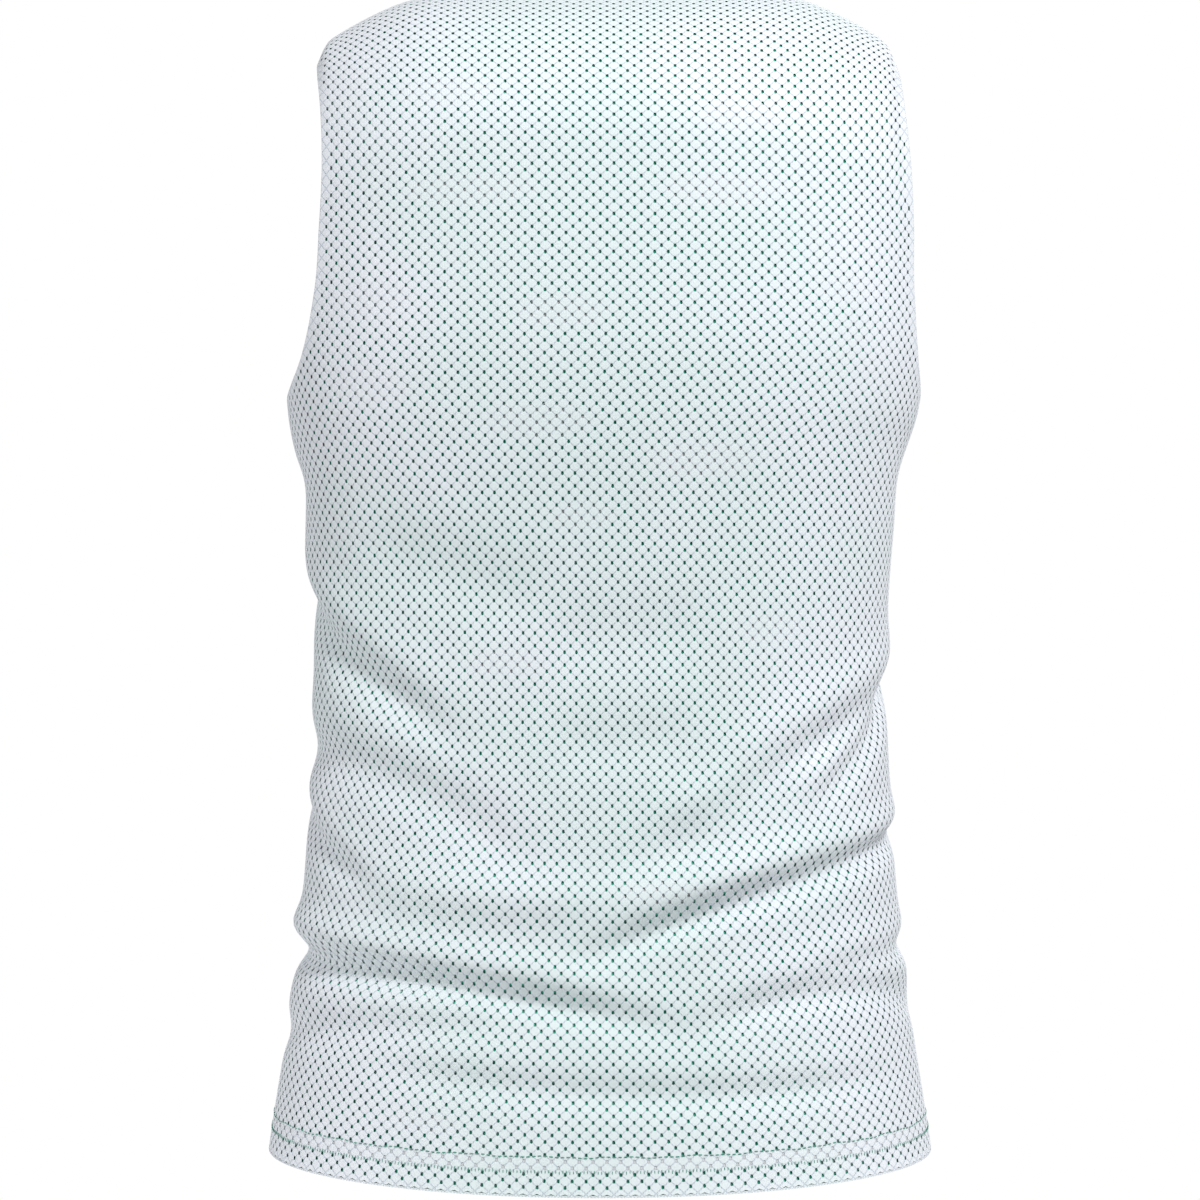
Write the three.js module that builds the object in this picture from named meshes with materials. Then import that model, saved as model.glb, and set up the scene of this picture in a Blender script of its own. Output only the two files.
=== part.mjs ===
// Reversible basketball jersey for an adult, sleeveless, filled out as when it is worn.
// Two knitted layers, white outside and green inside, each with a back and a front panel.
// Millimetres. +Z is up, the back faces -Y and the front +Y, so +X is to the right from behind.
// The origin is midway between the shoulder tops.
import * as THREE from 'three';

// Cloth
const knitWall = 1.0;          // one knitted layer
const layerGap = 0.6;          // air between the white and the green layer
const seamGap = 0.3;           // between the panels at the side and shoulder seams

// Body of the garment, at the seams
const hemSideHeight = -727;    // hem at the side seams
const hemDrop = 16;            // how much lower the hem hangs at the middle of each panel
const underarmHeight = -260;   // top of the side seams
const frozenHeight = -150;     // above here the body keeps one section
const levelHeight = -300;      // above here the knit runs level
const levelLength = 435;       // cloth from the hem to that height

// Shoulders and neck
const rollHeight = 105;        // height over which the cloth turns forward over the shoulders
const neckHalfWidth = 119;     // neck point of the shoulder seam, from the middle
const tipHalfWidth = 183;      // armhole end of the shoulder seam, from the middle
const shoulderSlope = 0.4;     // drop of the seam for each millimetre outwards
const shoulderBend = 0.002;    // further drop, with the square of the distance
const shoulderEase = 20;       // distance over which the slope begins
const tipRound = 10;           // extra drop where the seam's end rounds over
const tipRoundStart = 55;      // where that rounding begins, from the neck point
const tipRoundWidth = 9;

// Sections round the body. centre is how far the section leans sideways, and square is the
// exponent of its outline: 2 is an ellipse and more is boxier.
const bodySections = [
  { height: -760, centre: 0.0, halfWidth: 213.0, back: 124, front: 122, square: 2.20 },
  { height: -727, centre: 0.0, halfWidth: 210.0, back: 122, front: 121, square: 2.20 },
  { height: -649, centre: 0.0, halfWidth: 198.0, back: 116, front: 113, square: 2.25 },
  { height: -572, centre: 0.0, halfWidth: 189.0, back: 109, front: 106, square: 2.30 },
  { height: -496, centre: 0.0, halfWidth: 184.0, back: 103, front: 104, square: 2.35 },
  { height: -429, centre: 0.0, halfWidth: 181.6, back: 100, front: 106, square: 2.35 },
  { height: -382, centre: 0.0, halfWidth: 183.0, back: 101, front: 110, square: 2.35 },
  { height: -324, centre: 0.0, halfWidth: 188.0, back: 106, front: 116, square: 2.35 },
  { height: -286, centre: 0.5, halfWidth: 194.0, back: 111, front: 120, square: 2.35 },
  { height: -260, centre: 2.0, halfWidth: 200.0, back: 114, front: 121, square: 2.35 },
  { height: -220, centre: 3.5, halfWidth: 204.0, back: 117, front: 120, square: 2.35 },
  { height: -150, centre: 4.3, halfWidth: 206.0, back: 117, front: 112, square: 2.35 },
];

// Armhole edges: how far round each panel reaches at each height, left (-X) and right (+X), as a
// fraction of the way from its middle to the side. Both end at the shoulder seam's outer end.
const backArmholes = [
  { height: -260, left: 1.000, right: 1.000 },
  { height: -248, left: 0.870, right: 0.905 },
  { height: -229, left: 0.785, right: 0.840 },
  { height: -191, left: 0.728, right: 0.797 },
  { height: -153, left: 0.710, right: 0.786 },
  { height: -114, left: 0.700, right: 0.775 },
  { height: -76, left: 0.710, right: 0.754 },
];
const frontArmholes = [
  { height: -260, left: 1.000, right: 1.000 },
  { height: -248, left: 0.850, right: 0.858 },
  { height: -229, left: 0.752, right: 0.762 },
  { height: -191, left: 0.680, right: 0.690 },
  { height: -153, left: 0.655, right: 0.662 },
  { height: -114, left: 0.650, right: 0.657 },
  { height: -76, left: 0.672, right: 0.678 },
];
const armholeTopHeight = -44;  // where both edges reach the shoulder seam's end

// Folds. across is measured round the cloth from the middle of the panel, to 240 at a side
// seam and on round the body past it. bow lifts the middle of the fold, depth is a trough
// (a ridge where negative) and lip is the swelling that overhangs it.
const halfGirth = 240;
const backFolds = [
  { name: 'left waist', fromAcross: -290, fromZ: -345, toAcross: -70, toZ: -482, bow: 0, width: 13, depth: 5, lip: 2 },
  { name: 'left loin', fromAcross: -300, fromZ: -478, toAcross: -15, toZ: -566, bow: 34, width: 16, depth: 4, lip: 1 },
  { name: 'middle loin', fromAcross: -40, fromZ: -566, toAcross: 85, toZ: -518, bow: -4, width: 14, depth: 2.5, lip: 0 },
  { name: 'left nick', fromAcross: -270, fromZ: -488, toAcross: -132, toZ: -564, bow: -3, width: 9, depth: 3.5, lip: 1 },
  { name: 'long swag', fromAcross: -330, fromZ: -600, toAcross: 75, toZ: -652, bow: 14, width: 10, depth: 7, lip: 4 },
  { name: 'right swag', fromAcross: 35, fromZ: -652, toAcross: 260, toZ: -646, bow: 26, width: 11, depth: 4, lip: 2 },
  { name: 'left hip', fromAcross: -300, fromZ: -662, toAcross: 10, toZ: -638, bow: 4, width: 11, depth: 2.5, lip: 1 },
  { name: 'above hem', fromAcross: -165, fromZ: -662, toAcross: 215, toZ: -672, bow: -16, width: 10, depth: 3, lip: 1 },
  { name: 'right swag above', fromAcross: 290, fromZ: -520, toAcross: -35, toZ: -612, bow: 12, width: 9, depth: 6, lip: 3 },
  { name: 'right waist', fromAcross: 290, fromZ: -405, toAcross: 55, toZ: -514, bow: 2, width: 12, depth: 5, lip: 2 },
  { name: 'right nick', fromAcross: 270, fromZ: -415, toAcross: 125, toZ: -518, bow: 2, width: 9, depth: 4, lip: 2 },
  { name: 'right hip', fromAcross: 290, fromZ: -592, toAcross: 115, toZ: -610, bow: 0, width: 8, depth: 3, lip: 1 },
  { name: 'belly of swag', fromAcross: -185, fromZ: -542, toAcross: 170, toZ: -512, bow: -34, width: 16, depth: -5, lip: 0 },
  { name: 'right swell', fromAcross: 20, fromZ: -516, toAcross: 155, toZ: -470, bow: 0, width: 13, depth: -3, lip: 0 },
  { name: 'shoulder blade dip', fromAcross: -165, fromZ: -345, toAcross: -20, toZ: -392, bow: 0, width: 24, depth: 3, lip: 0 },
  { name: 'spine dip', fromAcross: -50, fromZ: -402, toAcross: 80, toZ: -396, bow: -6, width: 22, depth: 2, lip: 0 },
  { name: 'small of back', fromAcross: -40, fromZ: -470, toAcross: 70, toZ: -462, bow: -4, width: 17, depth: 2, lip: 0 },
];
const frontFolds = [
  { name: 'left chest', fromAcross: -300, fromZ: -300, toAcross: -60, toZ: -368, bow: 8, width: 17, depth: 3, lip: 1 },
  { name: 'right chest', fromAcross: 290, fromZ: -292, toAcross: 50, toZ: -382, bow: 6, width: 18, depth: 3, lip: 1 },
  { name: 'stomach', fromAcross: -130, fromZ: -438, toAcross: 110, toZ: -424, bow: -14, width: 18, depth: 2.5, lip: 1 },
  { name: 'left belt', fromAcross: -225, fromZ: -508, toAcross: 30, toZ: -572, bow: 14, width: 13, depth: 4, lip: 2 },
  { name: 'right belt', fromAcross: 220, fromZ: -500, toAcross: -10, toZ: -592, bow: 10, width: 12, depth: 4.5, lip: 2 },
  { name: 'front swag', fromAcross: -190, fromZ: -630, toAcross: 205, toZ: -622, bow: -24, width: 11, depth: 5, lip: 3 },
  { name: 'front hem', fromAcross: -120, fromZ: -676, toAcross: 160, toZ: -684, bow: -10, width: 10, depth: 2.5, lip: 1 },
];

// What differs between the back and the front
const panels = {
  back: { side: -1, depth: 'back', neckCut: 51, neckPower: 0.5, armholes: backArmholes },
  front: { side: 1, depth: 'front', neckCut: 172, neckPower: 0.8, armholes: frontArmholes },
};
const neckRound = 2.2;         // exponent of the neckline's curve across

// Facets
const neckColumns = 6;         // from the middle to a neck point
const shoulderColumns = 6;     // from a neck point to an armhole
const lowerBands = [           // level rows from the hem up to the underarm, by cloth length
  { upTo: 345, rows: 11 },
  { upTo: 475, rows: 3 },
];
const upperBands = [           // rows from there to the top, by share of the way
  { upTo: 0.12, rows: 3 },
  { upTo: 0.36, rows: 2 },
  { upTo: 1, rows: 5 },
];
const arcSamples = 160;

const clamp = (value, low, high) => Math.min(Math.max(value, low), high);
const smooth = (value) => {
  const t = clamp(value, 0, 1);
  return t * t * (3 - 2 * t);
};

// A column of a table at a height, along a smooth curve through its rows.
function readTable(table, column, height) {
  const last = table.length - 1;
  const h = clamp(height, table[0].height, table[last].height);
  let i = 0;
  while (i < last - 1 && h > table[i + 1].height) {
    i += 1;
  }
  const slopeAt = (k) => {
    const low = Math.max(k - 1, 0);
    const high = Math.min(k + 1, last);
    return (table[high][column] - table[low][column]) / (table[high].height - table[low].height);
  };
  const span = table[i + 1].height - table[i].height;
  const t = (h - table[i].height) / span;
  const t2 = t * t;
  const t3 = t2 * t;
  return (2 * t3 - 3 * t2 + 1) * table[i][column] + (t3 - 2 * t2 + t) * span * slopeAt(i)
    + (3 * t2 - 2 * t3) * table[i + 1][column] + (t3 - t2) * span * slopeAt(i + 1);
}

// The half section at a height: from the middle of the panel to the side seam.
// Each sample is its distance out, its depth and the cloth's length up to it.
const sectionCache = new Map();
function halfSection(height, panel) {
  const level = Math.min(height, frozenHeight);
  const key = `${panel.depth}${level}`;
  if (sectionCache.has(key)) {
    return sectionCache.get(key);
  }
  const halfWidth = readTable(bodySections, 'halfWidth', level);
  const depth = readTable(bodySections, panel.depth, level);
  const power = 2 / readTable(bodySections, 'square', level);
  const samples = [];
  let length = 0;
  for (let k = 0; k <= arcSamples; k += 1) {
    const angle = (k / arcSamples) * Math.PI / 2;
    const out = halfWidth * Math.sin(angle) ** power;
    const deep = depth * Math.max(Math.cos(angle), 0) ** power;
    if (k > 0) {
      const before = samples[k - 1];
      length += Math.hypot(out - before.out, deep - before.deep);
    }
    samples.push({ out, deep, length });
  }
  const section = { samples, length, centre: readTable(bodySections, 'centre', level) };
  sectionCache.set(key, section);
  return section;
}

// A point of the section at a fraction of the way round: 0 is the middle, 1 the side seam.
// Past the seam the section carries on as its mirror image.
function sectionPoint(round, height, panel) {
  const section = halfSection(height, panel);
  const past = Math.abs(round) > 1;
  const fraction = past ? 2 - Math.abs(round) : Math.abs(round);
  const wanted = fraction * section.length;
  let k = 1;
  while (k < arcSamples && section.samples[k].length < wanted) {
    k += 1;
  }
  const low = section.samples[k - 1];
  const high = section.samples[k];
  const t = (wanted - low.length) / (high.length - low.length);
  const out = low.out + (high.out - low.out) * t;
  const deep = low.deep + (high.deep - low.deep) * t;
  return { x: section.centre + Math.sign(round) * out, deep: past ? -deep : deep };
}

// The fraction of the way round at which the section is a distance out.
function roundAt(out, height, panel) {
  const section = halfSection(height, panel);
  let k = 1;
  while (k < arcSamples && section.samples[k].out < out) {
    k += 1;
  }
  const low = section.samples[k - 1];
  const high = section.samples[k];
  const t = clamp((out - low.out) / (high.out - low.out), 0, 1);
  return (low.length + (high.length - low.length) * t) / section.length;
}

// Height of the shoulder line at a distance from the middle: level over the neck, then sloping.
function shoulderHeight(out) {
  const past = out - neckHalfWidth;
  const eased = (past + Math.hypot(past, shoulderEase)) / 2;
  const bend = shoulderBend * Math.max(past, 0) ** 2;
  const tip = tipRound * (Math.max(past - tipRoundStart, 0) / tipRoundWidth) ** 2;
  return shoulderSlope * (shoulderEase / 2 - eased) - bend - tip;
}

// How one column of the knit runs: where it starts, where it turns over and how long the turn is.
function column(round, panel) {
  const top = sectionPoint(round, frozenHeight, panel);
  const out = Math.abs(top.x - readTable(bodySections, 'centre', frozenHeight));
  const peak = shoulderHeight(Math.min(out, tipHalfWidth));
  const hem = hemSideHeight - hemDrop * (1 - Math.min(round * round, 1));
  const straight = levelLength + (peak - rollHeight - levelHeight);
  const turn = Math.PI / 2 * Math.sqrt((rollHeight ** 2 + top.deep ** 2) / 2);
  return { out, peak, hem, straight, turn };
}

// The smooth body under the folds: a point at a fraction round and a cloth length up from the hem.
function bodyPoint(round, length, panel) {
  const run = column(round, panel);
  let height = 0;
  let lean = 1;
  if (length < levelLength) {
    height = run.hem + (levelHeight - run.hem) * length / levelLength;
  } else if (length < run.straight) {
    height = levelHeight + length - levelLength;
  } else {
    const angle = (length - run.straight) / run.turn * Math.PI / 2;
    height = run.peak - rollHeight * (1 - Math.sin(angle));
    lean = Math.cos(angle);
  }
  const flat = sectionPoint(round, height, panel);
  return new THREE.Vector3(flat.x, panel.side * flat.deep * lean, height);
}

// The body's outward direction, across its two running directions.
function bodyNormal(round, length, panel) {
  const stepRound = 0.004;
  const stepLength = 1;
  const along = bodyPoint(round + stepRound, length, panel);
  along.sub(bodyPoint(round - stepRound, length, panel));
  const up = bodyPoint(round, length + stepLength, panel);
  up.sub(bodyPoint(round, length - stepLength, panel));
  return along.cross(up).multiplyScalar(-panel.side).normalize();
}

// How far one fold moves the cloth outwards: a soft trough along its bowed line, a swelling
// above it, both fading at its ends.
function foldMove(fold, across, height) {
  const runX = fold.toAcross - fold.fromAcross;
  const runZ = fold.toZ - fold.fromZ;
  const reach = Math.hypot(runX, runZ);
  const along = ((across - fold.fromAcross) * runX + (height - fold.fromZ) * runZ) / reach ** 2;
  if (along <= 0 || along >= 1) {
    return 0;
  }
  const upward = Math.sign(runX);
  const aside = upward * ((height - fold.fromZ) * runX - (across - fold.fromAcross) * runZ) / reach;
  const off = (aside - fold.bow * 4 * along * (1 - along)) / fold.width;
  const fade = smooth(along / 0.3) * smooth((1 - along) / 0.3);
  return fade * (fold.lip * Math.exp(-((off - 1.7) ** 2) / 1.4) - fold.depth * Math.exp(-off * off));
}

// All the folds at a place. Both sets are read on both panels, so that a fold runs on across a seam.
function foldsAt(round, height, panel) {
  const own = round * halfGirth;
  const other = (round < 0 ? -1 : 1) * (2 - Math.abs(round)) * halfGirth;
  const fromBack = panel.side < 0 ? own : other;
  const fromFront = panel.side < 0 ? other : own;
  const back = backFolds.reduce((sum, fold) => sum + foldMove(fold, fromBack, height), 0);
  const front = frontFolds.reduce((sum, fold) => sum + foldMove(fold, fromFront, height), 0);
  return back + front;
}

// Where a panel ends at the side: the seam up to the underarm, then the armhole's edge.
function sideEdge(length, sign, panel) {
  const tip = roundAt(tipHalfWidth, frozenHeight, panel);
  const rows = [...panel.armholes, { height: armholeTopHeight, left: tip, right: tip }];
  let round = tip;
  for (let pass = 0; pass < 20; pass += 1) {
    const height = bodyPoint(sign * round, length, panel).z;
    round = readTable(rows, sign < 0 ? 'left' : 'right', height);
  }
  return Math.min(round, 1 - seamGap / 2 / halfGirth);
}

// Where a panel ends at the top: the neckline between the neck points, then the shoulder seam.
function topEdge(round, panel) {
  const run = column(round, panel);
  const whole = run.straight + run.turn - seamGap / 2;
  const inside = 1 - (run.out / neckHalfWidth) ** neckRound;
  return whole - panel.neckCut * Math.max(inside, 0) ** panel.neckPower;
}

// Even steps through a list of bands, each from where the last one ended.
function bandSteps(bands) {
  const steps = [0];
  for (const band of bands) {
    const start = steps[steps.length - 1];
    for (let k = 1; k <= band.rows; k += 1) {
      steps.push(start + (band.upTo - start) * k / band.rows);
    }
  }
  return steps;
}

// Columns from one side to the other, closer together towards the neck points.
function columnSteps(tip, panel) {
  const neck = roundAt(neckHalfWidth, frozenHeight, panel) / tip;
  const half = [];
  for (let k = 1; k <= neckColumns; k += 1) {
    half.push(neck * Math.sin(Math.PI / 2 * k / neckColumns));
  }
  for (let k = 1; k <= shoulderColumns; k += 1) {
    half.push(neck + (1 - neck) * k / shoulderColumns);
  }
  return [...half.map((value) => -value).reverse(), 0, ...half];
}

// A panel's grid: each node has its place on the outer face and its outward direction.
// Rows are level up to the underarm, and share out what is left above it.
function panelGrid(panel) {
  const tip = roundAt(tipHalfWidth, frozenHeight, panel);
  const underarm = levelLength + underarmHeight - levelHeight;
  const rows = [
    ...bandSteps(lowerBands).map((length) => ({ length, share: 0 })),
    ...bandSteps(upperBands).slice(1).map((share) => ({ length: underarm, share })),
  ];
  const lengthIn = (row, round) => row.length + row.share * (topEdge(round, panel) - underarm);
  return rows.map((row) => columnSteps(tip, panel).map((across) => {
    const length = lengthIn(row, across * tip);
    const round = across * sideEdge(lengthIn(row, tip), Math.sign(across), panel);
    const point = bodyPoint(round, length, panel);
    const normal = bodyNormal(round, length, panel);
    point.addScaledVector(normal, foldsAt(round, point.z, panel));
    return { point, normal };
  }));
}

// A closed wall over a grid, from one depth under the outer face to another.
function wallGeometry(grid, outerDepth, innerDepth, flipped) {
  const rows = grid.length;
  const columns = grid[0].length;
  const positions = [];
  for (const depth of [outerDepth, innerDepth]) {
    for (const row of grid) {
      for (const node of row) {
        positions.push(...node.point.clone().addScaledVector(node.normal, -depth).toArray());
      }
    }
  }
  const faces = [];
  const addQuad = (a, b, c, d) => {
    const corners = flipped ? [a, d, c, b] : [a, b, c, d];
    faces.push(corners[0], corners[1], corners[2], corners[0], corners[2], corners[3]);
  };
  const under = rows * columns;
  for (let j = 0; j < rows - 1; j += 1) {
    for (let i = 0; i < columns - 1; i += 1) {
      const a = j * columns + i;
      const b = a + 1;
      const c = a + columns + 1;
      const d = a + columns;
      const rising = grid[j][i].point.distanceTo(grid[j + 1][i + 1].point);
      const falling = grid[j][i + 1].point.distanceTo(grid[j + 1][i].point);
      if (rising < falling) {
        addQuad(a, b, c, d);
        addQuad(under + a, under + d, under + c, under + b);
      } else {
        addQuad(b, c, d, a);
        addQuad(under + d, under + c, under + b, under + a);
      }
    }
  }
  for (let i = 0; i < columns - 1; i += 1) {
    const top = (rows - 1) * columns + i;
    addQuad(i, under + i, under + i + 1, i + 1);
    addQuad(top, top + 1, under + top + 1, under + top);
  }
  for (let j = 0; j < rows - 1; j += 1) {
    const left = j * columns;
    const right = left + columns - 1;
    addQuad(left, left + columns, under + left + columns, under + left);
    addQuad(right, under + right, under + right + columns, right + columns);
  }
  const geometry = new THREE.BufferGeometry();
  geometry.setAttribute('position', new THREE.Float32BufferAttribute(positions, 3));
  geometry.setIndex(faces);
  return geometry;
}

const whiteKnit = { color: 0xe9eef2, roughness: 0.85, metalness: 0 };
const greenKnit = { color: 0x1d7a58, roughness: 0.85, metalness: 0 };

function addLayer(group, name, grid, depth, knit, panel) {
  const geometry = wallGeometry(grid, depth, depth + knitWall, panel.side > 0);
  const mesh = new THREE.Mesh(geometry, new THREE.MeshStandardMaterial(knit));
  mesh.name = name;
  group.add(mesh);
}

const jersey = new THREE.Group();
for (const [name, panel] of Object.entries(panels)) {
  const grid = panelGrid(panel);
  addLayer(jersey, `${name}_outer`, grid, 0, whiteKnit, panel);
  addLayer(jersey, `${name}_inner`, grid, knitWall + layerGap, greenKnit, panel);
}

export default jersey;
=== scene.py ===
import bpy
import numpy as np
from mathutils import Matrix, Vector


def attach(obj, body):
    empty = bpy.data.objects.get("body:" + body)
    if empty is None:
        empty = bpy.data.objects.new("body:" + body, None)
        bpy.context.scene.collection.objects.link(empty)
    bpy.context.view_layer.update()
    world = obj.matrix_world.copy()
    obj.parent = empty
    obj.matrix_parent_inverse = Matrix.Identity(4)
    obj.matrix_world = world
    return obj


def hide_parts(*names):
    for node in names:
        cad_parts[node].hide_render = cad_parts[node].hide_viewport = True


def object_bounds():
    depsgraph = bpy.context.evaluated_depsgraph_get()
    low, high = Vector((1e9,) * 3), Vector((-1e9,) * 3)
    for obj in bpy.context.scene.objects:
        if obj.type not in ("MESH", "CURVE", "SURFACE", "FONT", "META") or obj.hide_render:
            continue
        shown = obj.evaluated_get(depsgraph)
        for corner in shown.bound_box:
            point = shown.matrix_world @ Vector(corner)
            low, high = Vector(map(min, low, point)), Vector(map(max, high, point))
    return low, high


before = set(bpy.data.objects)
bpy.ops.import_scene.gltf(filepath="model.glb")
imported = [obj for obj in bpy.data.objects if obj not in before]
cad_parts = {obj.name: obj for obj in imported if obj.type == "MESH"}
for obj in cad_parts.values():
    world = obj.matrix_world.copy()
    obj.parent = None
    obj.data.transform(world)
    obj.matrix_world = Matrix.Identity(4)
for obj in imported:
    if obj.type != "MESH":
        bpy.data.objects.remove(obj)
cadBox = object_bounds()
mm = 0.001  # the shape is worked out in millimetres

# What a user may change about the worn shape. Lengths in millimetres, heights from the shoulders.
body = dict(
    hemSideHeight=-727, hemDrop=16, underarmHeight=-260, frozenHeight=-150,
    levelHeight=-300, levelLength=435, rollHeight=105, neckHalfWidth=119,
    tipHalfWidth=183, shoulderSlope=0.4, shoulderBend=0.002, shoulderEase=20,
    tipRound=10, tipRoundStart=55, tipRoundWidth=9, halfGirth=240, seamGap=0.3,
    armholeTopHeight=-44, neckRound=2.2,
    foldStrength=1.35,  # thin cloth takes a fold a little deeper than the thick walls do
)
sectionTable = dict(  # one column for each value, from the hem up
    height=[-760, -727, -649, -572, -496, -429, -382, -324, -286, -260, -220, -150],
    centre=[0, 0, 0, 0, 0, 0, 0, 0, 0.5, 2, 3.5, 4.3],
    halfWidth=[213, 210, 198, 189, 184, 181.6, 183, 188, 194, 200, 204, 206],
    back=[124, 122, 116, 109, 103, 100, 101, 106, 111, 114, 117, 117],
    front=[122, 121, 113, 106, 104, 106, 110, 116, 120, 121, 120, 112],
    square=[2.2, 2.2, 2.25, 2.3, 2.35, 2.35, 2.35, 2.35, 2.35, 2.35, 2.35, 2.35],
)
armholeHeights = [-260, -248, -229, -191, -153, -114, -76]
panels = {
    "back": dict(
        side=-1, neckCut=51, neckPower=0.5,
        left=[1.0, 0.87, 0.785, 0.728, 0.71, 0.7, 0.71],
        right=[1.0, 0.905, 0.84, 0.797, 0.786, 0.775, 0.754],
    ),
    "front": dict(
        side=1, neckCut=172, neckPower=0.8,
        left=[1.0, 0.85, 0.752, 0.68, 0.655, 0.65, 0.672],
        right=[1.0, 0.858, 0.762, 0.69, 0.662, 0.657, 0.678],
    ),
}
# Folds: from and to are (distance round from the panel's middle, height). bow lifts the middle.
foldColumns = ("fromAcross", "fromZ", "toAcross", "toZ", "bow", "width", "depth", "lip")
backFolds = [
    (-290, -345, -70, -482, 0, 13, 5, 2),       # left waist
    (-300, -478, -15, -566, 34, 16, 4, 1),      # left loin
    (-40, -566, 85, -518, -4, 14, 2.5, 0),      # middle loin
    (-270, -488, -132, -564, -3, 9, 3.5, 1),    # left nick
    (-330, -600, 75, -652, 14, 10, 7, 4),       # long swag
    (35, -652, 260, -646, 26, 11, 4, 2),        # right swag
    (-300, -662, 10, -638, 4, 11, 2.5, 1),      # left hip
    (-165, -662, 215, -672, -16, 10, 3, 1),     # above the hem
    (290, -520, -35, -612, 12, 9, 6, 3),        # right swag above
    (290, -405, 55, -514, 2, 12, 5, 2),         # right waist
    (270, -415, 125, -518, 2, 9, 4, 2),         # right nick
    (290, -592, 115, -610, 0, 8, 3, 1),         # right hip
    (-185, -542, 170, -512, -34, 16, -5, 0),    # belly of the swag
    (20, -516, 155, -470, 0, 13, -3, 0),        # right swell
    (-165, -345, -20, -392, 0, 24, 3, 0),       # dip under the shoulder blade
    (-50, -402, 80, -396, -6, 22, 2, 0),        # dip at the spine
    (-40, -470, 70, -462, -4, 17, 2, 0),        # small of the back
]
frontFolds = [
    (-300, -300, -60, -368, 8, 17, 3, 1),       # left chest
    (290, -292, 50, -382, 6, 18, 3, 1),         # right chest
    (-130, -438, 110, -424, -14, 18, 2.5, 1),   # stomach
    (-225, -508, 30, -572, 14, 13, 4, 2),       # left belt
    (220, -500, -10, -592, 10, 12, 4.5, 2),     # right belt
    (-190, -630, 205, -622, -24, 11, 5, 3),     # front swag
    (-120, -676, 160, -684, -10, 10, 2.5, 1),   # front hem
]


def smooth(value):  # 3t^2 - 2t^3 between 0 and 1
    t = np.clip(value, 0, 1)
    return t * t * (3 - 2 * t)


def readTable(heights, values, height):  # Hermite curve through the rows, slopes from neighbours
    z = np.asarray(heights, float)
    v = np.asarray(values, float)
    low = np.maximum(np.arange(len(z)) - 1, 0)
    high = np.minimum(np.arange(len(z)) + 1, len(z) - 1)
    slope = (v[high] - v[low]) / (z[high] - z[low])
    h = np.clip(height, z[0], z[-1])
    i = np.clip(np.searchsorted(z, h) - 1, 0, len(z) - 2)
    span = z[i + 1] - z[i]
    t = (h - z[i]) / span
    start = (2 * t**3 - 3 * t**2 + 1) * v[i] + (t**3 - 2 * t**2 + t) * span * slope[i]
    return start + (3 * t**2 - 2 * t**3) * v[i + 1] + (t**3 - t**2) * span * slope[i + 1]


class Section:  # half sections of one panel: distance out and depth, by height and fraction round
    heights = np.arange(-765.0, -149.0, 5.0)
    fractions = np.linspace(0, 1, 601)

    def __init__(self, name):
        wide = readTable(sectionTable["height"], sectionTable["halfWidth"], self.heights)
        deep = readTable(sectionTable["height"], sectionTable[name], self.heights)
        power = 2 / readTable(sectionTable["height"], sectionTable["square"], self.heights)
        angle = np.linspace(0, np.pi / 2, 1201)
        self.out = np.zeros((len(self.heights), len(self.fractions)))
        self.deep = np.zeros_like(self.out)
        for k in range(len(self.heights)):  # x = a sin^p, y = b cos^p, stepped evenly by length
            x = wide[k] * np.sin(angle) ** power[k]
            y = deep[k] * np.maximum(np.cos(angle), 0) ** power[k]
            run = np.concatenate([[0], np.cumsum(np.hypot(np.diff(x), np.diff(y)))])
            self.out[k] = np.interp(self.fractions * run[-1], run, x)
            self.deep[k] = np.interp(self.fractions * run[-1], run, y)

    def point(self, round_, height):  # bilinear between the stored sections, mirrored past 1
        level = np.minimum(height, body["frozenHeight"])
        past = np.abs(round_) > 1
        part = np.where(past, 2 - np.abs(round_), np.abs(round_))
        row = np.clip((level - self.heights[0]) / 5.0, 0, len(self.heights) - 1.001)
        column = np.clip(part, 0, 1) * (len(self.fractions) - 1.001)
        i = row.astype(int)
        j = column.astype(int)
        s = row - i
        t = column - j

        def blend(grid):
            low = grid[i, j] * (1 - t) + grid[i, j + 1] * t
            high = grid[i + 1, j] * (1 - t) + grid[i + 1, j + 1] * t
            return low * (1 - s) + high * s

        centre = readTable(sectionTable["height"], sectionTable["centre"], level)
        deep = blend(self.deep)
        return centre + np.sign(round_) * blend(self.out), np.where(past, -deep, deep)

    def roundAt(self, out):  # fraction round at which the top section is that far out
        return float(np.interp(out, self.out[-1], self.fractions))


for panelName, panel in panels.items():
    panel["section"] = Section(panelName)
    panel["tip"] = panel["section"].roundAt(body["tipHalfWidth"])


def shoulderHeight(out):  # level over the neck, then sloping, and rounding off at the tip
    past = out - body["neckHalfWidth"]
    eased = (past + np.hypot(past, body["shoulderEase"])) / 2
    bend = body["shoulderBend"] * np.maximum(past, 0) ** 2
    tip = body["tipRound"] * (np.maximum(past - body["tipRoundStart"], 0) / body["tipRoundWidth"]) ** 2
    return body["shoulderSlope"] * (body["shoulderEase"] / 2 - eased) - bend - tip


def columnRun(round_, panel):  # where a column of the knit starts, turns over, and how long it is
    x, deep = panel["section"].point(round_, np.full_like(round_, body["frozenHeight"]))
    out = np.abs(x - sectionTable["centre"][-1])
    peak = shoulderHeight(np.minimum(out, body["tipHalfWidth"]))
    hem = body["hemSideHeight"] - body["hemDrop"] * (1 - np.minimum(round_**2, 1))
    straight = body["levelLength"] + peak - body["rollHeight"] - body["levelHeight"]
    turn = np.pi / 2 * np.sqrt((body["rollHeight"] ** 2 + deep**2) / 2)
    return out, peak, hem, straight, turn


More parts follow.
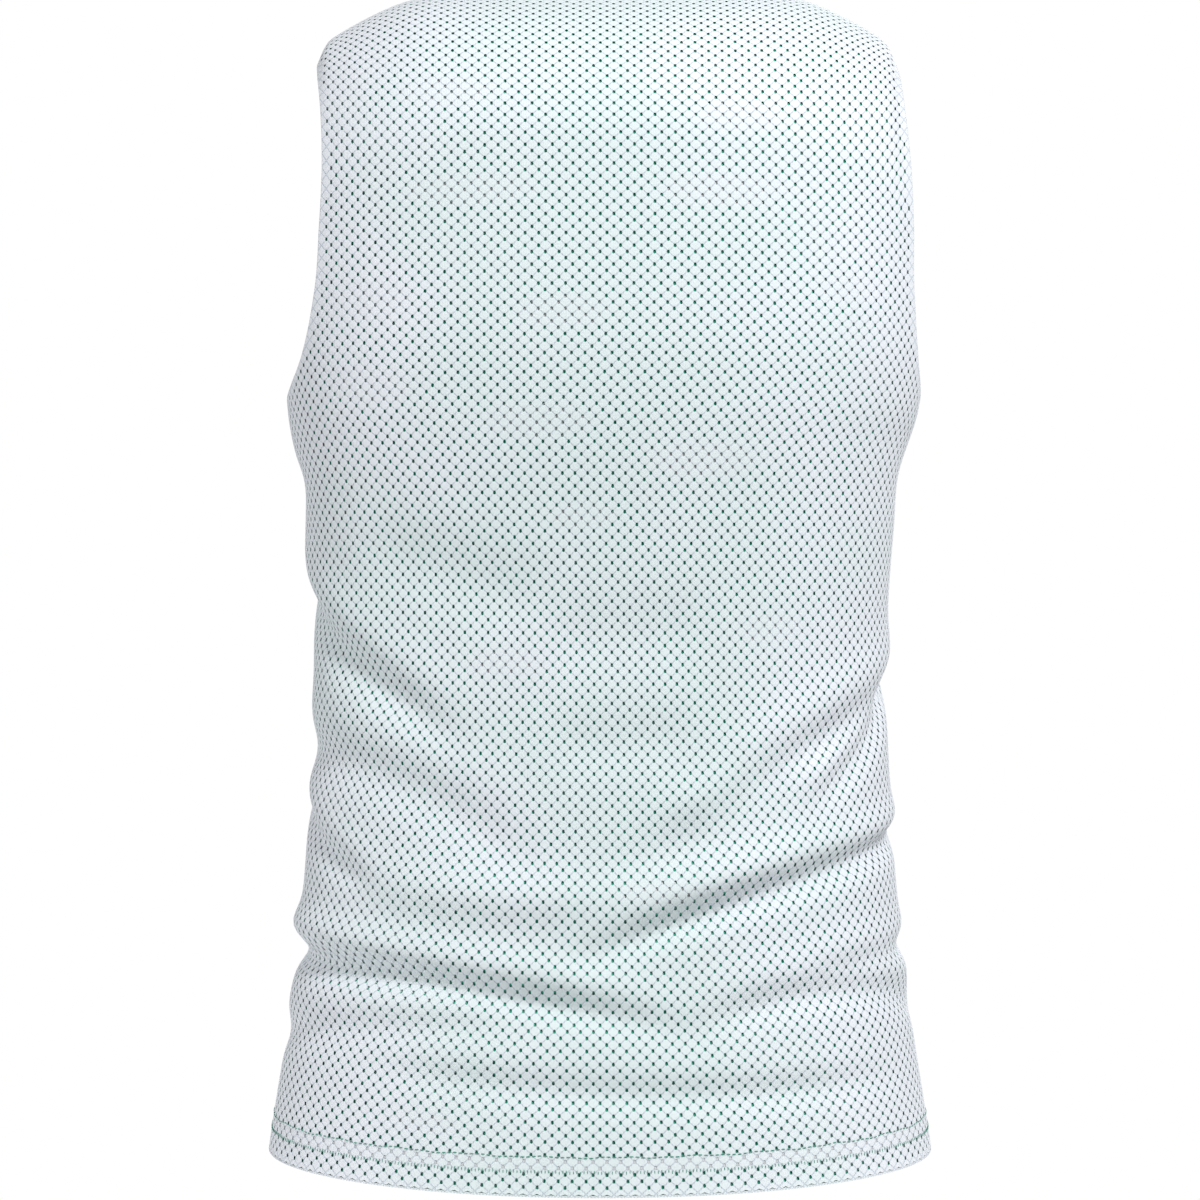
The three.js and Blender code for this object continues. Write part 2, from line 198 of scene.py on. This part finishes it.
def bodyPoint(round_, length, panel):  # straight up from the hem, then a quarter turn forward
    out, peak, hem, straight, turn = columnRun(round_, panel)
    rise = hem + (body["levelHeight"] - hem) * length / body["levelLength"]
    above = body["levelHeight"] + length - body["levelLength"]
    height = np.where(length < body["levelLength"], rise, above)
    angle = np.maximum(length - straight, 0) / turn * np.pi / 2
    height = np.where(length > straight, peak - body["rollHeight"] * (1 - np.sin(angle)), height)
    x, deep = panel["section"].point(round_, height)
    return np.stack([x, panel["side"] * deep * np.cos(angle), height], -1)


def bodyNormal(round_, length, panel):  # across the two running directions
    along = bodyPoint(round_ + 0.004, length, panel) - bodyPoint(round_ - 0.004, length, panel)
    up = bodyPoint(round_, length + 1, panel) - bodyPoint(round_, length - 1, panel)
    normal = -panel["side"] * np.cross(along, up)
    return normal / np.linalg.norm(normal, axis=-1, keepdims=True)


def foldMove(fold, across, height):  # trough exp(-s^2) on a bowed line, with a swelling above it
    f = dict(zip(foldColumns, fold))
    runX = f["toAcross"] - f["fromAcross"]
    runZ = f["toZ"] - f["fromZ"]
    reach = np.hypot(runX, runZ)
    dx = across - f["fromAcross"]
    dz = height - f["fromZ"]
    along = (dx * runX + dz * runZ) / reach**2
    aside = np.sign(runX) * (dz * runX - dx * runZ) / reach
    off = (aside - f["bow"] * 4 * along * (1 - along)) / f["width"]
    fade = smooth(along / 0.3) * smooth((1 - along) / 0.3)
    return fade * (f["lip"] * np.exp(-((off - 1.7) ** 2) / 1.4) - f["depth"] * np.exp(-off * off))


def foldsAt(round_, height, panel):  # both sets on both panels, so that folds run on across a seam
    own = round_ * body["halfGirth"]
    other = np.where(round_ < 0, -1, 1) * (2 - np.abs(round_)) * body["halfGirth"]
    fromBack, fromFront = (own, other) if panel["side"] < 0 else (other, own)
    total = np.zeros_like(own)
    for fold in backFolds:
        total += foldMove(fold, fromBack, height)
    for fold in frontFolds:
        total += foldMove(fold, fromFront, height)
    return total * body["foldStrength"]


def sideEdge(length, sign, panel):  # the seam up to the underarm, then the armhole
    rows = armholeHeights + [body["armholeTopHeight"]]
    values = panel["left" if sign < 0 else "right"] + [panel["tip"]]
    edge = np.full_like(length, panel["tip"])
    for _ in range(12):
        edge = readTable(rows, values, bodyPoint(sign * edge, length, panel)[..., 2])
    out, peak, hem, straight, turn = columnRun(np.full_like(length, panel["tip"]), panel)
    edge = np.where(length > straight + turn, panel["tip"], edge)
    return np.minimum(edge, 1 - body["seamGap"] / 2 / body["halfGirth"])


def topEdge(round_, panel):  # the neckline between the neck points, then the shoulder seam
    out, peak, hem, straight, turn = columnRun(round_, panel)
    inside = np.maximum(1 - (out / body["neckHalfWidth"]) ** body["neckRound"], 0)
    return straight + turn - body["seamGap"] / 2 - panel["neckCut"] * inside ** panel["neckPower"]


def clothPoint(round_, length, panel, sink=0.0):  # on the folded cloth, sunk by a depth
    base = bodyPoint(round_, length, panel)
    normal = bodyNormal(round_, length, panel)
    move = foldsAt(round_, base[..., 2], panel) - sink
    return base + normal * move[..., None], normal


def makeMesh(name, points, faces, material, uv=None):  # smooth faces in metres, with a knit map
    mesh = bpy.data.meshes.new(name)
    mesh.from_pydata((points * mm).tolist(), [], faces.tolist())
    mesh.polygons.foreach_set("use_smooth", [True] * len(mesh.polygons))
    if uv is not None:
        layer = mesh.uv_layers.new(name="knit")
        corner = np.zeros(len(mesh.loops), np.int32)
        mesh.loops.foreach_get("vertex_index", corner)
        layer.data.foreach_set("uv", uv[corner].astype(np.float32).ravel())
    mesh.materials.append(material)
    obj = bpy.data.objects.new(name, mesh)
    bpy.context.scene.collection.objects.link(obj)
    return obj


# Knit
knit = dict(columns=64, rowPitch=3.83, holeAcross=0.88, holeUp=1.3, rimSink=0.35, edgeMargin=2.4)


def latticeCloth(name, panel, material):
    # Holes sit where k + m is even on a net of k half pitches across and m row pitches up. Round
    # each is a diamond with a drop-shaped hole, and diamonds past the edge are drawn in to it.
    half = knit["columns"]
    rows = int(900 / knit["rowPitch"])
    k, m = np.meshgrid(np.arange(-half - 2, half + 3), np.arange(-1, rows), indexing="ij")
    isHole = (k + m) % 2 == 0
    netRound = k / half
    netLength = (m + 0.45) * knit["rowPitch"]
    flatLength = netLength.ravel()
    leftEdge = sideEdge(flatLength, -1, panel).reshape(k.shape)
    rightEdge = sideEdge(flatLength, 1, panel).reshape(k.shape)
    edge = np.where(netRound < 0, leftEdge, rightEdge)
    top = topEdge(np.clip(netRound, -1, 1).ravel(), panel).reshape(k.shape)
    inside = (np.abs(netRound) <= edge) & (netLength <= top) & (netLength >= 0)
    heldRound = np.clip(netRound, -leftEdge, rightEdge)
    heldTop = topEdge(heldRound.ravel(), panel).reshape(k.shape)
    heldLength = np.clip(netLength, 0, heldTop)
    points, _ = clothPoint(heldRound, heldLength, panel)

    centre = np.argwhere(isHole[1:-1, 1:-1]) + 1
    ci, cj = centre[:, 0], centre[:, 1]
    corners = np.stack([
        np.stack([ci + 1, cj], -1), np.stack([ci, cj + 1], -1),
        np.stack([ci - 1, cj], -1), np.stack([ci, cj - 1], -1)], 1)
    cornerIn = inside[corners[..., 0], corners[..., 1]]
    kept = cornerIn.any(1) | inside[ci, cj]
    corners, ci, cj, cornerIn = corners[kept], ci[kept], cj[kept], cornerIn[kept]
    roomSide = (edge[ci, cj] - np.abs(netRound[ci, cj])) * body["halfGirth"]
    roomTop = top[ci, cj] - netLength[ci, cj]
    room = np.minimum(np.minimum(roomSide, roomTop), netLength[ci, cj])
    holed = (room > knit["edgeMargin"]) & cornerIn.all(1)

    cornerId = corners[..., 0] * k.shape[1] + corners[..., 1]
    allPoints = [points.reshape(-1, 3)]
    uvAll = [np.stack([heldRound * half, heldLength / knit["rowPitch"] - 0.45], -1).reshape(-1, 2)]
    hi, hj = ci[holed], cj[holed]
    turn = np.arange(8) * np.pi / 4
    narrow = 1 - 0.22 * np.maximum(np.sin(turn), 0)
    stepRound = knit["holeAcross"] * np.cos(turn) * narrow / body["halfGirth"]
    stepUp = knit["holeUp"] * np.sin(turn)
    rimRound = netRound[hi, hj][:, None] + stepRound
    rimLength = netLength[hi, hj][:, None] + stepUp
    rim, _ = clothPoint(rimRound, rimLength, panel, knit["rimSink"])
    start = points.reshape(-1, 3).shape[0]
    allPoints.append(rim.reshape(-1, 3))
    uvAll.append(np.stack([rimRound * half, rimLength / knit["rowPitch"] - 0.45], -1).reshape(-1, 2))
    rimId = start + np.arange(len(hi) * 8).reshape(-1, 8)
    faces = []
    for side in range(4):
        a = cornerId[holed][:, side]
        b = cornerId[holed][:, (side + 1) % 4]
        r0 = rimId[:, side * 2]
        r1 = rimId[:, side * 2 + 1]
        r2 = rimId[:, (side * 2 + 2) % 8]
        faces += [np.stack([a, b, r1], -1), np.stack([b, r2, r1], -1), np.stack([a, r1, r0], -1)]
    solid = cornerId[~holed]
    faces += [solid[:, [0, 1, 2]], solid[:, [0, 2, 3]]]
    faces = np.concatenate(faces)
    points = np.concatenate(allPoints)
    uv = np.concatenate(uvAll)
    if panel["side"] > 0:
        faces = faces[:, ::-1]
    a, b, c = points[faces[:, 0]], points[faces[:, 1]], points[faces[:, 2]]
    big = np.linalg.norm(np.cross(b - a, c - a), axis=1) > 0.02
    faces = faces[big]
    used, index = np.unique(faces, return_inverse=True)
    return makeMesh(name, points[used], index.reshape(-1, 3), material, uv[used])


def innerCloth(name, panel, material, sink):
    # A plain grid between the panel's edges. Its net runs slightly out of step with the outer
    # one, by a slow wave, so that the two sets of holes line up only in patches.
    across = np.linspace(-1, 1, 171)
    up = np.linspace(0, 1, 241)
    p, q = np.meshgrid(across, up, indexing="ij")
    top = topEdge((p * panel["tip"]).ravel(), panel).reshape(p.shape)
    tipTop = topEdge(np.array([panel["tip"]]), panel)[0]
    underarm = body["levelLength"] + body["underarmHeight"] - body["levelHeight"]
    split = 0.62
    low = q / split * underarm
    share = (q - split) / (1 - split)
    length = np.where(q < split, low, underarm + share * (top - underarm))
    edgeLength = np.where(q < split, low, underarm + share * (tipTop - underarm))
    left = sideEdge(edgeLength.ravel(), -1, panel).reshape(p.shape)
    right = sideEdge(edgeLength.ravel(), 1, panel).reshape(p.shape)
    round_ = p * np.where(p < 0, left, right)
    points, _ = clothPoint(round_, length, panel, sink)
    k = round_ * knit["columns"]
    m = length / knit["rowPitch"] - 0.45
    shift = outOfStep(round_ * body["halfGirth"], points[..., 2])
    uv = np.stack([k + shift[0], m + shift[1]], -1).reshape(-1, 2)
    index = np.arange(p.size).reshape(p.shape)
    quads = np.stack([index[:-1, :-1], index[1:, :-1], index[1:, 1:], index[:-1, 1:]], -1).reshape(-1, 4)
    if panel["side"] > 0:
        quads = quads[:, ::-1]
    return makeMesh(name, points.reshape(-1, 3), quads, material, uv)


# Patches where the holes of both layers line up: (across, height, half width, half height)
stepPatches = [
    (-93, -71, 34, 12), (74, -87, 30, 12), (-81, -132, 44, 12), (68, -132, 40, 11),
    (-134, -198, 30, 13), (-25, -206, 30, 12), (146, -191, 30, 12), (-136, -250, 26, 12),
    (-35, -272, 34, 12), (59, -296, 34, 12), (-190, -150, 16, 20), (-60, -420, 26, 9),
    (110, -400, 22, 10), (-10, -330, 22, 8), (40, -560, 30, 8), (-100, -700, 26, 8),
]


def outOfStep(across, height):  # half a net step away from the holes, less inside each patch
    near = np.zeros_like(across)
    for x, z, wide, tall in stepPatches:
        near = np.maximum(near, np.exp(-((across - x) / wide) ** 2 - ((height - z) / tall) ** 2))
    off = 1 - smooth(near * 1.25)
    return off * 0.62 * np.cos(across / 61 + height / 83), off * 0.75 * np.ones_like(across)


def edgeRoll(name, roundPath, lengthPath, outward, panel, material, radius=1.3):
    # A half round along the cloth's edge: from the outer face, out past the edge, to the inner one.
    points, normals = clothPoint(roundPath, lengthPath, panel)
    tangent = np.gradient(points, axis=0)
    tangent /= np.linalg.norm(tangent, axis=1, keepdims=True)
    aside = np.cross(tangent, normals) * outward
    turn = np.linspace(-0.25, np.pi + 0.2, 9)
    ring = points[:, None] - normals[:, None] * radius
    ring = ring + normals[:, None] * (radius * np.cos(turn))[None, :, None]
    ring = ring + aside[:, None] * (radius * np.sin(turn))[None, :, None]
    index = np.arange(ring.shape[0] * 9).reshape(-1, 9)
    quads = np.stack([index[:-1, :-1], index[1:, :-1], index[1:, 1:], index[:-1, 1:]], -1).reshape(-1, 4)
    run = np.concatenate([[0], np.cumsum(np.linalg.norm(np.diff(points, axis=0), axis=1))])
    uv = np.stack(np.broadcast_arrays(run[:, None], turn[None]), -1).reshape(-1, 2)
    if outward > 0:
        quads = quads[:, ::-1]
    return makeMesh(name, ring.reshape(-1, 3), quads, material, uv)


def ribbon(name, rows, material):  # a strip through rows of points, one row for each line along it
    grid = np.stack(rows, 1)
    index = np.arange(grid.shape[0] * grid.shape[1]).reshape(grid.shape[:2])
    quads = np.stack([index[:-1, :-1], index[1:, :-1], index[1:, 1:], index[:-1, 1:]], -1).reshape(-1, 4)
    return makeMesh(name, grid.reshape(-1, 3), quads, material)


def stitches(name, centres, along, normals, size, material):
    # One bead for each stitch: rings of 5 whose radius swells and falls as a half sine.
    steps = np.linspace(0, np.pi, 6)
    turn = np.arange(5) * 2 * np.pi / 5
    aside = np.cross(normals, along)
    length, wide, tall = size
    t = (-np.cos(steps) * length / 2)[None, :, None, None]
    swell = np.maximum(np.sin(steps), 0.05)[None, :, None, None]
    c = np.cos(turn)[None, None, :, None] * wide / 2 * swell
    s = np.sin(turn)[None, None, :, None] * tall / 2 * swell
    first = [v[:, None, None, :] for v in (centres, along, aside, normals)]
    points = first[0] + first[1] * t + first[2] * c + first[3] * s
    index = np.arange(points.size // 3).reshape(points.shape[:3])
    after = np.roll(index, -1, axis=2)
    quads = np.stack([index[:, :-1], after[:, :-1], after[:, 1:], index[:, 1:]], -1).reshape(-1, 4)
    ends = [index[:, 0], index[:, -1][:, ::-1]]
    caps = np.concatenate(ends)
    capFaces = [caps[:, [0, 4, 3]], caps[:, [0, 3, 2]], caps[:, [0, 2, 1]]]
    faces = np.concatenate([quads[:, [0, 1, 2]], quads[:, [0, 2, 3]]] + capFaces)
    return makeMesh(name, points.reshape(-1, 3), faces[:, ::-1], material)


# Materials
def newMaterial(name, colour, roughness, sheen):
    material = bpy.data.materials.new(name)
    material.use_nodes = True
    shader = material.node_tree.nodes["Principled BSDF"]
    shader.inputs["Base Color"].default_value = (*colour, 1)
    shader.inputs["Roughness"].default_value = roughness
    shader.inputs["Specular IOR Level"].default_value = 0.3
    shader.inputs["Sheen Weight"].default_value = sheen
    shader.inputs["Sheen Roughness"].default_value = 0.5
    return material, material.node_tree, shader


def mathNode(tree, operation, a, b=None, c=None):
    node = tree.nodes.new("ShaderNodeMath")
    node.operation = operation
    for socket, value in zip(node.inputs, (a, b, c)):
        if value is None:
            continue
        if isinstance(value, (int, float)):
            socket.default_value = value
        else:
            tree.links.new(value, socket)
    return node.outputs[0]


def netNodes(tree):  # k from the knit map, and the net's diagonals (k + m) / 2 and (k - m) / 2
    uv = tree.nodes.new("ShaderNodeUVMap")
    uv.uv_map = "knit"
    split = tree.nodes.new("ShaderNodeSeparateXYZ")
    tree.links.new(uv.outputs[0], split.inputs[0])
    k, m = split.outputs[0], split.outputs[1]
    rising = mathNode(tree, "MULTIPLY", mathNode(tree, "ADD", k, m), 0.5)
    falling = mathNode(tree, "MULTIPLY", mathNode(tree, "SUBTRACT", k, m), 0.5)
    return k, rising, falling


def offWhole(tree, value):  # distance from the nearest whole number
    return mathNode(tree, "ABSOLUTE", mathNode(tree, "SUBTRACT", value, mathNode(tree, "ROUND", value)))


def mixColour(tree, factor, a, b):
    node = tree.nodes.new("ShaderNodeMix")
    node.data_type = "RGBA"
    tree.links.new(factor, node.inputs[0])
    for socket, value in ((node.inputs[6], a), (node.inputs[7], b)):
        if isinstance(value, tuple):
            socket.default_value = (*value, 1)
        else:
            tree.links.new(value, socket)
    return node.outputs[2]


def bumpNode(tree, shader, height, distance, strength):
    node = tree.nodes.new("ShaderNodeBump")
    node.inputs["Distance"].default_value = distance
    node.inputs["Strength"].default_value = strength
    tree.links.new(height, node.inputs["Height"])
    tree.links.new(node.outputs[0], shader.inputs["Normal"])


def objectNoise(tree, scale, detail=2.0):
    where = tree.nodes.new("ShaderNodeTexCoord")
    noise = tree.nodes.new("ShaderNodeTexNoise")
    noise.inputs["Scale"].default_value = scale
    noise.inputs["Detail"].default_value = detail
    tree.links.new(where.outputs["Object"], noise.inputs["Vector"])
    return noise.outputs[0]


whiteLook = dict(
    # the groove colour is painted shade for the knit's grooves; middle is the green layer's tint, painted
    # stronger where the light falls
    middle=(0.72, 0.81, 0.815), side=(0.8, 0.83, 0.88), grooveAndPaintedShade=(0.42, 0.49, 0.56), shade=(0.62, 0.68, 0.74),
    roughness=0.75, sheen=0.15,
)


def whiteKnit():
    look = whiteLook
    material, tree, shader = newMaterial("white_knit", look["side"], look["roughness"], look["sheen"])
    k, rising, falling = netNodes(tree)
    near = mathNode(tree, "MINIMUM", offWhole(tree, rising), offWhole(tree, falling))
    line = mathNode(tree, "SUBTRACT", 1, mathNode(tree, "MULTIPLY", near, 9))
    line = mathNode(tree, "MAXIMUM", line, 0)
    dash = mathNode(tree, "ABSOLUTE", mathNode(tree, "SINE", mathNode(tree, "MULTIPLY", k, 9.42)))
    grooveAndPaintedShade = mathNode(tree, "MULTIPLY", line, mathNode(tree, "MULTIPLY_ADD", dash, 0.6, 0.4))
    wales = mathNode(tree, "SINE", mathNode(tree, "MULTIPLY", k, 25.1))
    fuzz = objectNoise(tree, 900)
    # the green layer showing through the white, with painted light: the teal tint is painted strongest over
    # the lit middle and fades to the shaded sides, in slow blotches
    where = tree.nodes.new("ShaderNodeTexCoord")
    split = tree.nodes.new("ShaderNodeSeparateXYZ")
    tree.links.new(where.outputs["Object"], split.inputs[0])
    out = mathNode(tree, "MULTIPLY", mathNode(tree, "ABSOLUTE", split.outputs[0]), -6.5)
    tintAndPaintedLight = mathNode(tree, "ADD", mathNode(tree, "MULTIPLY_ADD", objectNoise(tree, 9, 1.0), 2.6, -0.15), out)
    tintAndPaintedLight = mathNode(tree, "MINIMUM", mathNode(tree, "MAXIMUM", tintAndPaintedLight, 0), 1)
    # painted light: the thread colour goes from the side colour to the teal middle colour by this mask
    thread = mixColour(tree, tintAndPaintedLight, whiteLook["side"], whiteLook["middle"])
    # painted shade: the net's diagonal grooves are coloured darker, as shade in the recesses between the
    # strands; the same mask sinks them in the bump
    colour = mixColour(tree, grooveAndPaintedShade, thread, whiteLook["grooveAndPaintedShade"])
    shade = mathNode(tree, "MULTIPLY_ADD", fuzz, 0.22, 0.02)
    colour = mixColour(tree, shade, colour, whiteLook["shade"])
    tree.links.new(colour, shader.inputs["Base Color"])
    height = mathNode(tree, "MULTIPLY_ADD", grooveAndPaintedShade, -1, mathNode(tree, "MULTIPLY", wales, 0.12))
    bumpNode(tree, shader, height, 0.0004, 0.6)
    return material


greenLook = dict(
    thread=(0.08, 0.55, 0.36), dark=(0.04, 0.4, 0.26), dot=(0.9, 0.93, 0.95), roughness=0.75, sheen=0.1,
)


def greenKnit():
    look = greenLook
    material, tree, shader = newMaterial("green_knit", look["thread"], look["roughness"], look["sheen"])
    k, rising, falling = netNodes(tree)
    # centre of the nearest hole: whole rising and falling together
    dr = mathNode(tree, "SUBTRACT", rising, mathNode(tree, "ROUND", rising))
    df = mathNode(tree, "SUBTRACT", falling, mathNode(tree, "ROUND", falling))
    dk = mathNode(tree, "MULTIPLY", mathNode(tree, "ADD", dr, df), 3.8 / knit["holeAcross"])
    dm = mathNode(tree, "MULTIPLY", mathNode(tree, "SUBTRACT", dr, df), 3.8 / knit["holeUp"])
    squares = mathNode(tree, "ADD", mathNode(tree, "MULTIPLY", dk, dk), mathNode(tree, "MULTIPLY", dm, dm))
    far = mathNode(tree, "SQRT", squares)
    dot = mathNode(tree, "LESS_THAN", far, 1.25)
    wales = mathNode(tree, "SINE", mathNode(tree, "MULTIPLY", k, 25.1))
    weave = mathNode(tree, "MULTIPLY_ADD", wales, 0.25, objectNoise(tree, 500))
    colour = mixColour(tree, weave, greenLook["dark"], greenLook["thread"])
    colour = mixColour(tree, dot, colour, greenLook["dot"])
    tree.links.new(colour, shader.inputs["Base Color"])
    bumpNode(tree, shader, mathNode(tree, "MULTIPLY", wales, 0.3), 0.0003, 0.5)
    return material


def threadMaterial(name, colour, scale):
    material, tree, shader = newMaterial(name, colour, 0.6, 0.1)
    ply = objectNoise(tree, scale)
    dark = tuple(value * 0.6 for value in colour)
    tree.links.new(mixColour(tree, ply, dark, colour), shader.inputs["Base Color"])
    bumpNode(tree, shader, ply, 0.0002, 0.5)
    return material


white = whiteKnit()
green = greenKnit()
greenThread = threadMaterial("green_thread", (0.06, 0.34, 0.24), 1500)
coverThread = threadMaterial("cover_thread", (0.78, 0.82, 0.86), 900)

sewn = dict(stitchLow=14.6, stitchHigh=23.5, dashPitch=3.1, dashLength=2.5, whiskerPitch=1.9)
bands = {}
trims = []
for name, panel in panels.items():
    print("knitting", name)
    outer = latticeCloth(name + "Outer", panel, white)
    inner = innerCloth(name + "Inner", panel, green, 1.7)
    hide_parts(name + "_outer")
    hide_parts(name + "_inner")
    bands[name] = (outer, inner)

    print("turning the edges of", name)
    steps = np.linspace(0, 1, 260)
    neckEnd = panel["section"].roundAt(body["neckHalfWidth"])
    neckRound = neckEnd * np.sin((steps * 2 - 1) * np.pi / 2)
    neck = edgeRoll(name + "NeckEdge", neckRound, topEdge(neckRound, panel), 1, panel, white)
    hemRound = (steps * 2 - 1) * (1 - body["seamGap"] / 2 / body["halfGirth"])
    hem = edgeRoll(name + "HemEdge", hemRound, np.zeros_like(hemRound), -1, panel, white)
    underarm = body["levelLength"] + body["underarmHeight"] - body["levelHeight"]
    tipTop = topEdge(np.array([panel["tip"]]), panel)[0]
    armLength = underarm + (tipTop - underarm) * steps**1.5
    own = [neck, hem]
    for sign, sideName in ((-1, "Left"), (1, "Right")):
        edge = sideEdge(armLength, sign, panel) * sign
        own.append(edgeRoll(name + sideName + "ArmholeEdge", edge, armLength, sign, panel, white))
    trims += own

    print("stitching the hem of", name)
    count = int(2 * body["halfGirth"] / sewn["dashPitch"])
    place = (np.arange(count) + 0.5) / count * 2 - 1
    wave = 0.35 * np.sin(place * 37) + 0.25 * np.sin(place * 91 + 1)
    centre, normal = clothPoint(place, np.full(count, sewn["stitchHigh"]) + wave, panel, -0.15)
    along = np.gradient(centre, axis=0)
    along /= np.linalg.norm(along, axis=1, keepdims=True)
    dashSize = (sewn["dashLength"], 0.75, 0.6)
    dashes = stitches(name + "HemStitchHigh", centre, along, normal, dashSize, greenThread)
    count = int(2 * body["halfGirth"] / sewn["whiskerPitch"])
    place = (np.arange(count) + 0.5) / count * 2 - 1
    chance = np.random.default_rng(7).uniform(-0.4, 0.4, count)
    centre, normal = clothPoint(place, np.full(count, sewn["stitchLow"]) + chance, panel, -0.1)
    top, _ = clothPoint(place, np.full(count, sewn["stitchLow"] + 1), panel, -0.1)
    along = top - centre
    along /= np.linalg.norm(along, axis=1, keepdims=True)
    whiskers = stitches(name + "HemStitchLow", centre, along, normal, (2.1, 0.5, 0.45), greenThread)
    place = np.linspace(-0.999, 0.999, 400)
    rows = [clothPoint(place, np.full(400, height), panel, 0.75)[0] for height in (14.2, 17, 20, 23.8)]
    cover = ribbon(name + "HemCoverThread", rows if panel["side"] < 0 else rows[::-1], coverThread)
    trims += [dashes, whiskers, cover]

print("closing the seams")
backPanel = panels["back"]
underarm = body["levelLength"] + body["underarmHeight"] - body["levelHeight"]
for sign, sideName in ((-1, "left"), (1, "right")):
    length = np.linspace(0, underarm, 240)
    offsets = (0.012, 0.004, -0.004, -0.012)
    rows = []
    for offset, sink in zip(offsets, (0.9, 0.5, 0.5, 0.9)):
        rows.append(clothPoint(np.full(240, sign * (1 - offset)), length, backPanel, sink)[0])
    trims.append(ribbon(sideName + "SideSeam", rows if sign < 0 else rows[::-1], white))
    neckEnd = backPanel["section"].roundAt(body["neckHalfWidth"])
    seamRound = np.linspace(neckEnd, backPanel["tip"], 80) * sign
    out, peak, hem, straight, turn = columnRun(seamRound, backPanel)
    rows = []
    for offset, sink in ((2.5, 0.9), (0.8, 0.5), (-0.8, 0.5), (-2.5, 0.9)):
        rows.append(clothPoint(seamRound, straight + turn - offset, backPanel, sink)[0])
    trims.append(ribbon(sideName + "ShoulderSeam", rows if sign > 0 else rows[::-1], white))

for name, (outer, inner) in bands.items():
    own = [piece for piece in trims if piece.name.startswith(name)]
    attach(outer, "root")
    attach(inner, "root")
for piece in trims:
    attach(piece, "root")

print("setting the stage")
stage = dict(floorDrop=0.1, floorRadius=0.42, distance=2.5, viewWidth=0.7632, sensor=36.0)
floorMesh = bpy.data.meshes.new("floor")
turn = np.linspace(0, 2 * np.pi, 97)[:-1]
ring = np.stack([np.cos(turn), np.sin(turn), np.zeros(96)], -1) * stage["floorRadius"]
ring[:, 2] = cadBox[0][2] - stage["floorDrop"]
floorMesh.from_pydata(ring.tolist(), [], [list(range(96))])
floor = bpy.data.objects.new("floor", floorMesh)
bpy.context.scene.collection.objects.link(floor)
floorMaterial, floorTree, floorShader = newMaterial("floor_paper", (0.9, 0.9, 0.9), 0.9, 0.0)
paper = objectNoise(floorTree, 40)
paperColour = mixColour(floorTree, paper, (0.88, 0.88, 0.88), (0.92, 0.92, 0.92))
floorTree.links.new(paperColour, floorShader.inputs["Base Color"])
floorMesh.materials.append(floorMaterial)

scene = bpy.context.scene
world = bpy.data.worlds.new("studio")
world.use_nodes = True
scene.world = world
worldTree = world.node_tree
background = worldTree.nodes["Background"]
background.inputs["Color"].default_value = (1, 1, 1, 1)
lightPath = worldTree.nodes.new("ShaderNodeLightPath")
rays = lightPath.outputs
seen = mathNode(worldTree, "MAXIMUM", rays["Is Camera Ray"], rays["Is Glossy Ray"])
seen = mathNode(worldTree, "MAXIMUM", seen, rays["Is Transmission Ray"])
worldTree.links.new(mathNode(worldTree, "MULTIPLY_ADD", seen, 0.7, 0.3), background.inputs["Strength"])


def areaLamp(name, place, size, energy):
    data = bpy.data.lights.new(name, "AREA")
    data.energy = energy
    data.size = size
    lamp = bpy.data.objects.new(name, data)
    lamp.location = place
    toward = np.array([0, 0, -0.4]) - np.array(place)
    lamp.rotation_euler = Vector(toward).to_track_quat("-Z", "Y").to_euler()
    scene.collection.objects.link(lamp)


areaLamp("keyLamp", (1.0, -1.8, 1.2), 0.7, 54)
areaLamp("fillLamp", (-1.8, -1.7, 0.4), 1.0, 15)
areaLamp("frontLamp", (0.6, 2.2, 0.6), 1.2, 34)
areaLamp("sideLamp", (2.2, 0.1, -0.3), 0.8, 7)
areaLamp("otherSideLamp", (-2.0, -0.2, -1.0), 0.5, 8)

camera = bpy.data.objects.new("camera", bpy.data.cameras.new("camera"))
camera.location = (0.0, -stage["distance"], -stage["viewWidth"] / 2)
camera.rotation_euler = (np.pi / 2, 0, 0)
camera.data.sensor_width = stage["sensor"]
camera.data.lens = stage["sensor"] * stage["distance"] / stage["viewWidth"]
scene.collection.objects.link(camera)
scene.camera = camera
scene.view_settings.view_transform = "Standard"
